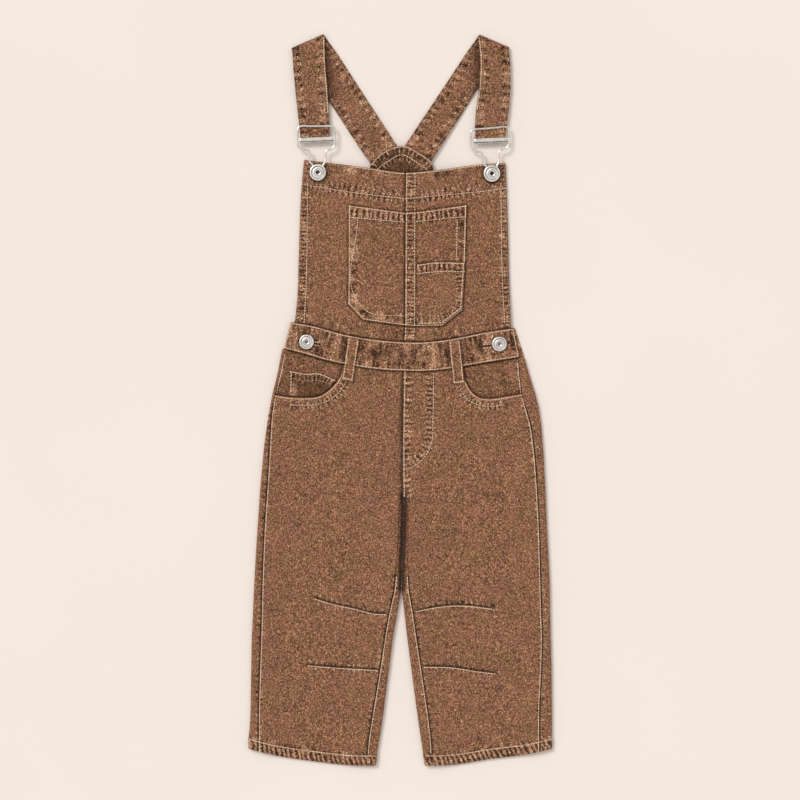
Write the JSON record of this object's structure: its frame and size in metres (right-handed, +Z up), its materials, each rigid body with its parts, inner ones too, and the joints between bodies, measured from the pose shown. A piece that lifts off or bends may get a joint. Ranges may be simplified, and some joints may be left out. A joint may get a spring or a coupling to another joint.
{
  "type": "kids dungarees",
  "caption": "Child's denim dungarees laid flat, with a pocketed bib, side-buttoned waistband, straight legs with knee tucks, and straps folded to slide buckles.",
  "frame": {"origin": "on the surface the garment lies on, under the middle of its outline", "axes": "+X to the right of the front view, +Y from the leg hems to the shoulders, +Z up from the surface"},
  "size_m": [0.3188, 0.7687, 0.0093],
  "materials": {
    "denim": "stone-washed brown denim with worn seams",
    "denim_deep": "stone-washed brown denim, shaded and less worn",
    "nickel": "polished nickel plate"
  },
  "bodies": {
    "root": {"leg_back_left": "denim", "leg_back_right": "denim", "leg_front_left": "denim", "leg_front_right": "denim", "hip_facing_left": "denim_deep", "hip_facing_right": "denim_deep", "coin_pocket_left": "denim_deep", "waistband_front": "denim", "waistband_back": "denim", "belt_loop_left": "denim", "belt_loop_right": "denim", "bib_left": "denim", "bib_right": "denim", "bib_pocket_left": "denim", "bib_pocket_right": "denim", "bib_pocket_small": "denim", "back_bib": "denim", "yoke_facing": "denim_deep", "strap_left": "denim", "strap_right": "denim", "bib_button_left": "nickel", "bib_button_right": "nickel", "buckle_frame_left": "nickel", "buckle_frame_right": "nickel", "buckle_bar_left": "nickel", "buckle_bar_right": "nickel", "waist_button_left": "nickel", "waist_button_right": "nickel"}
  },
  "joints": []
}
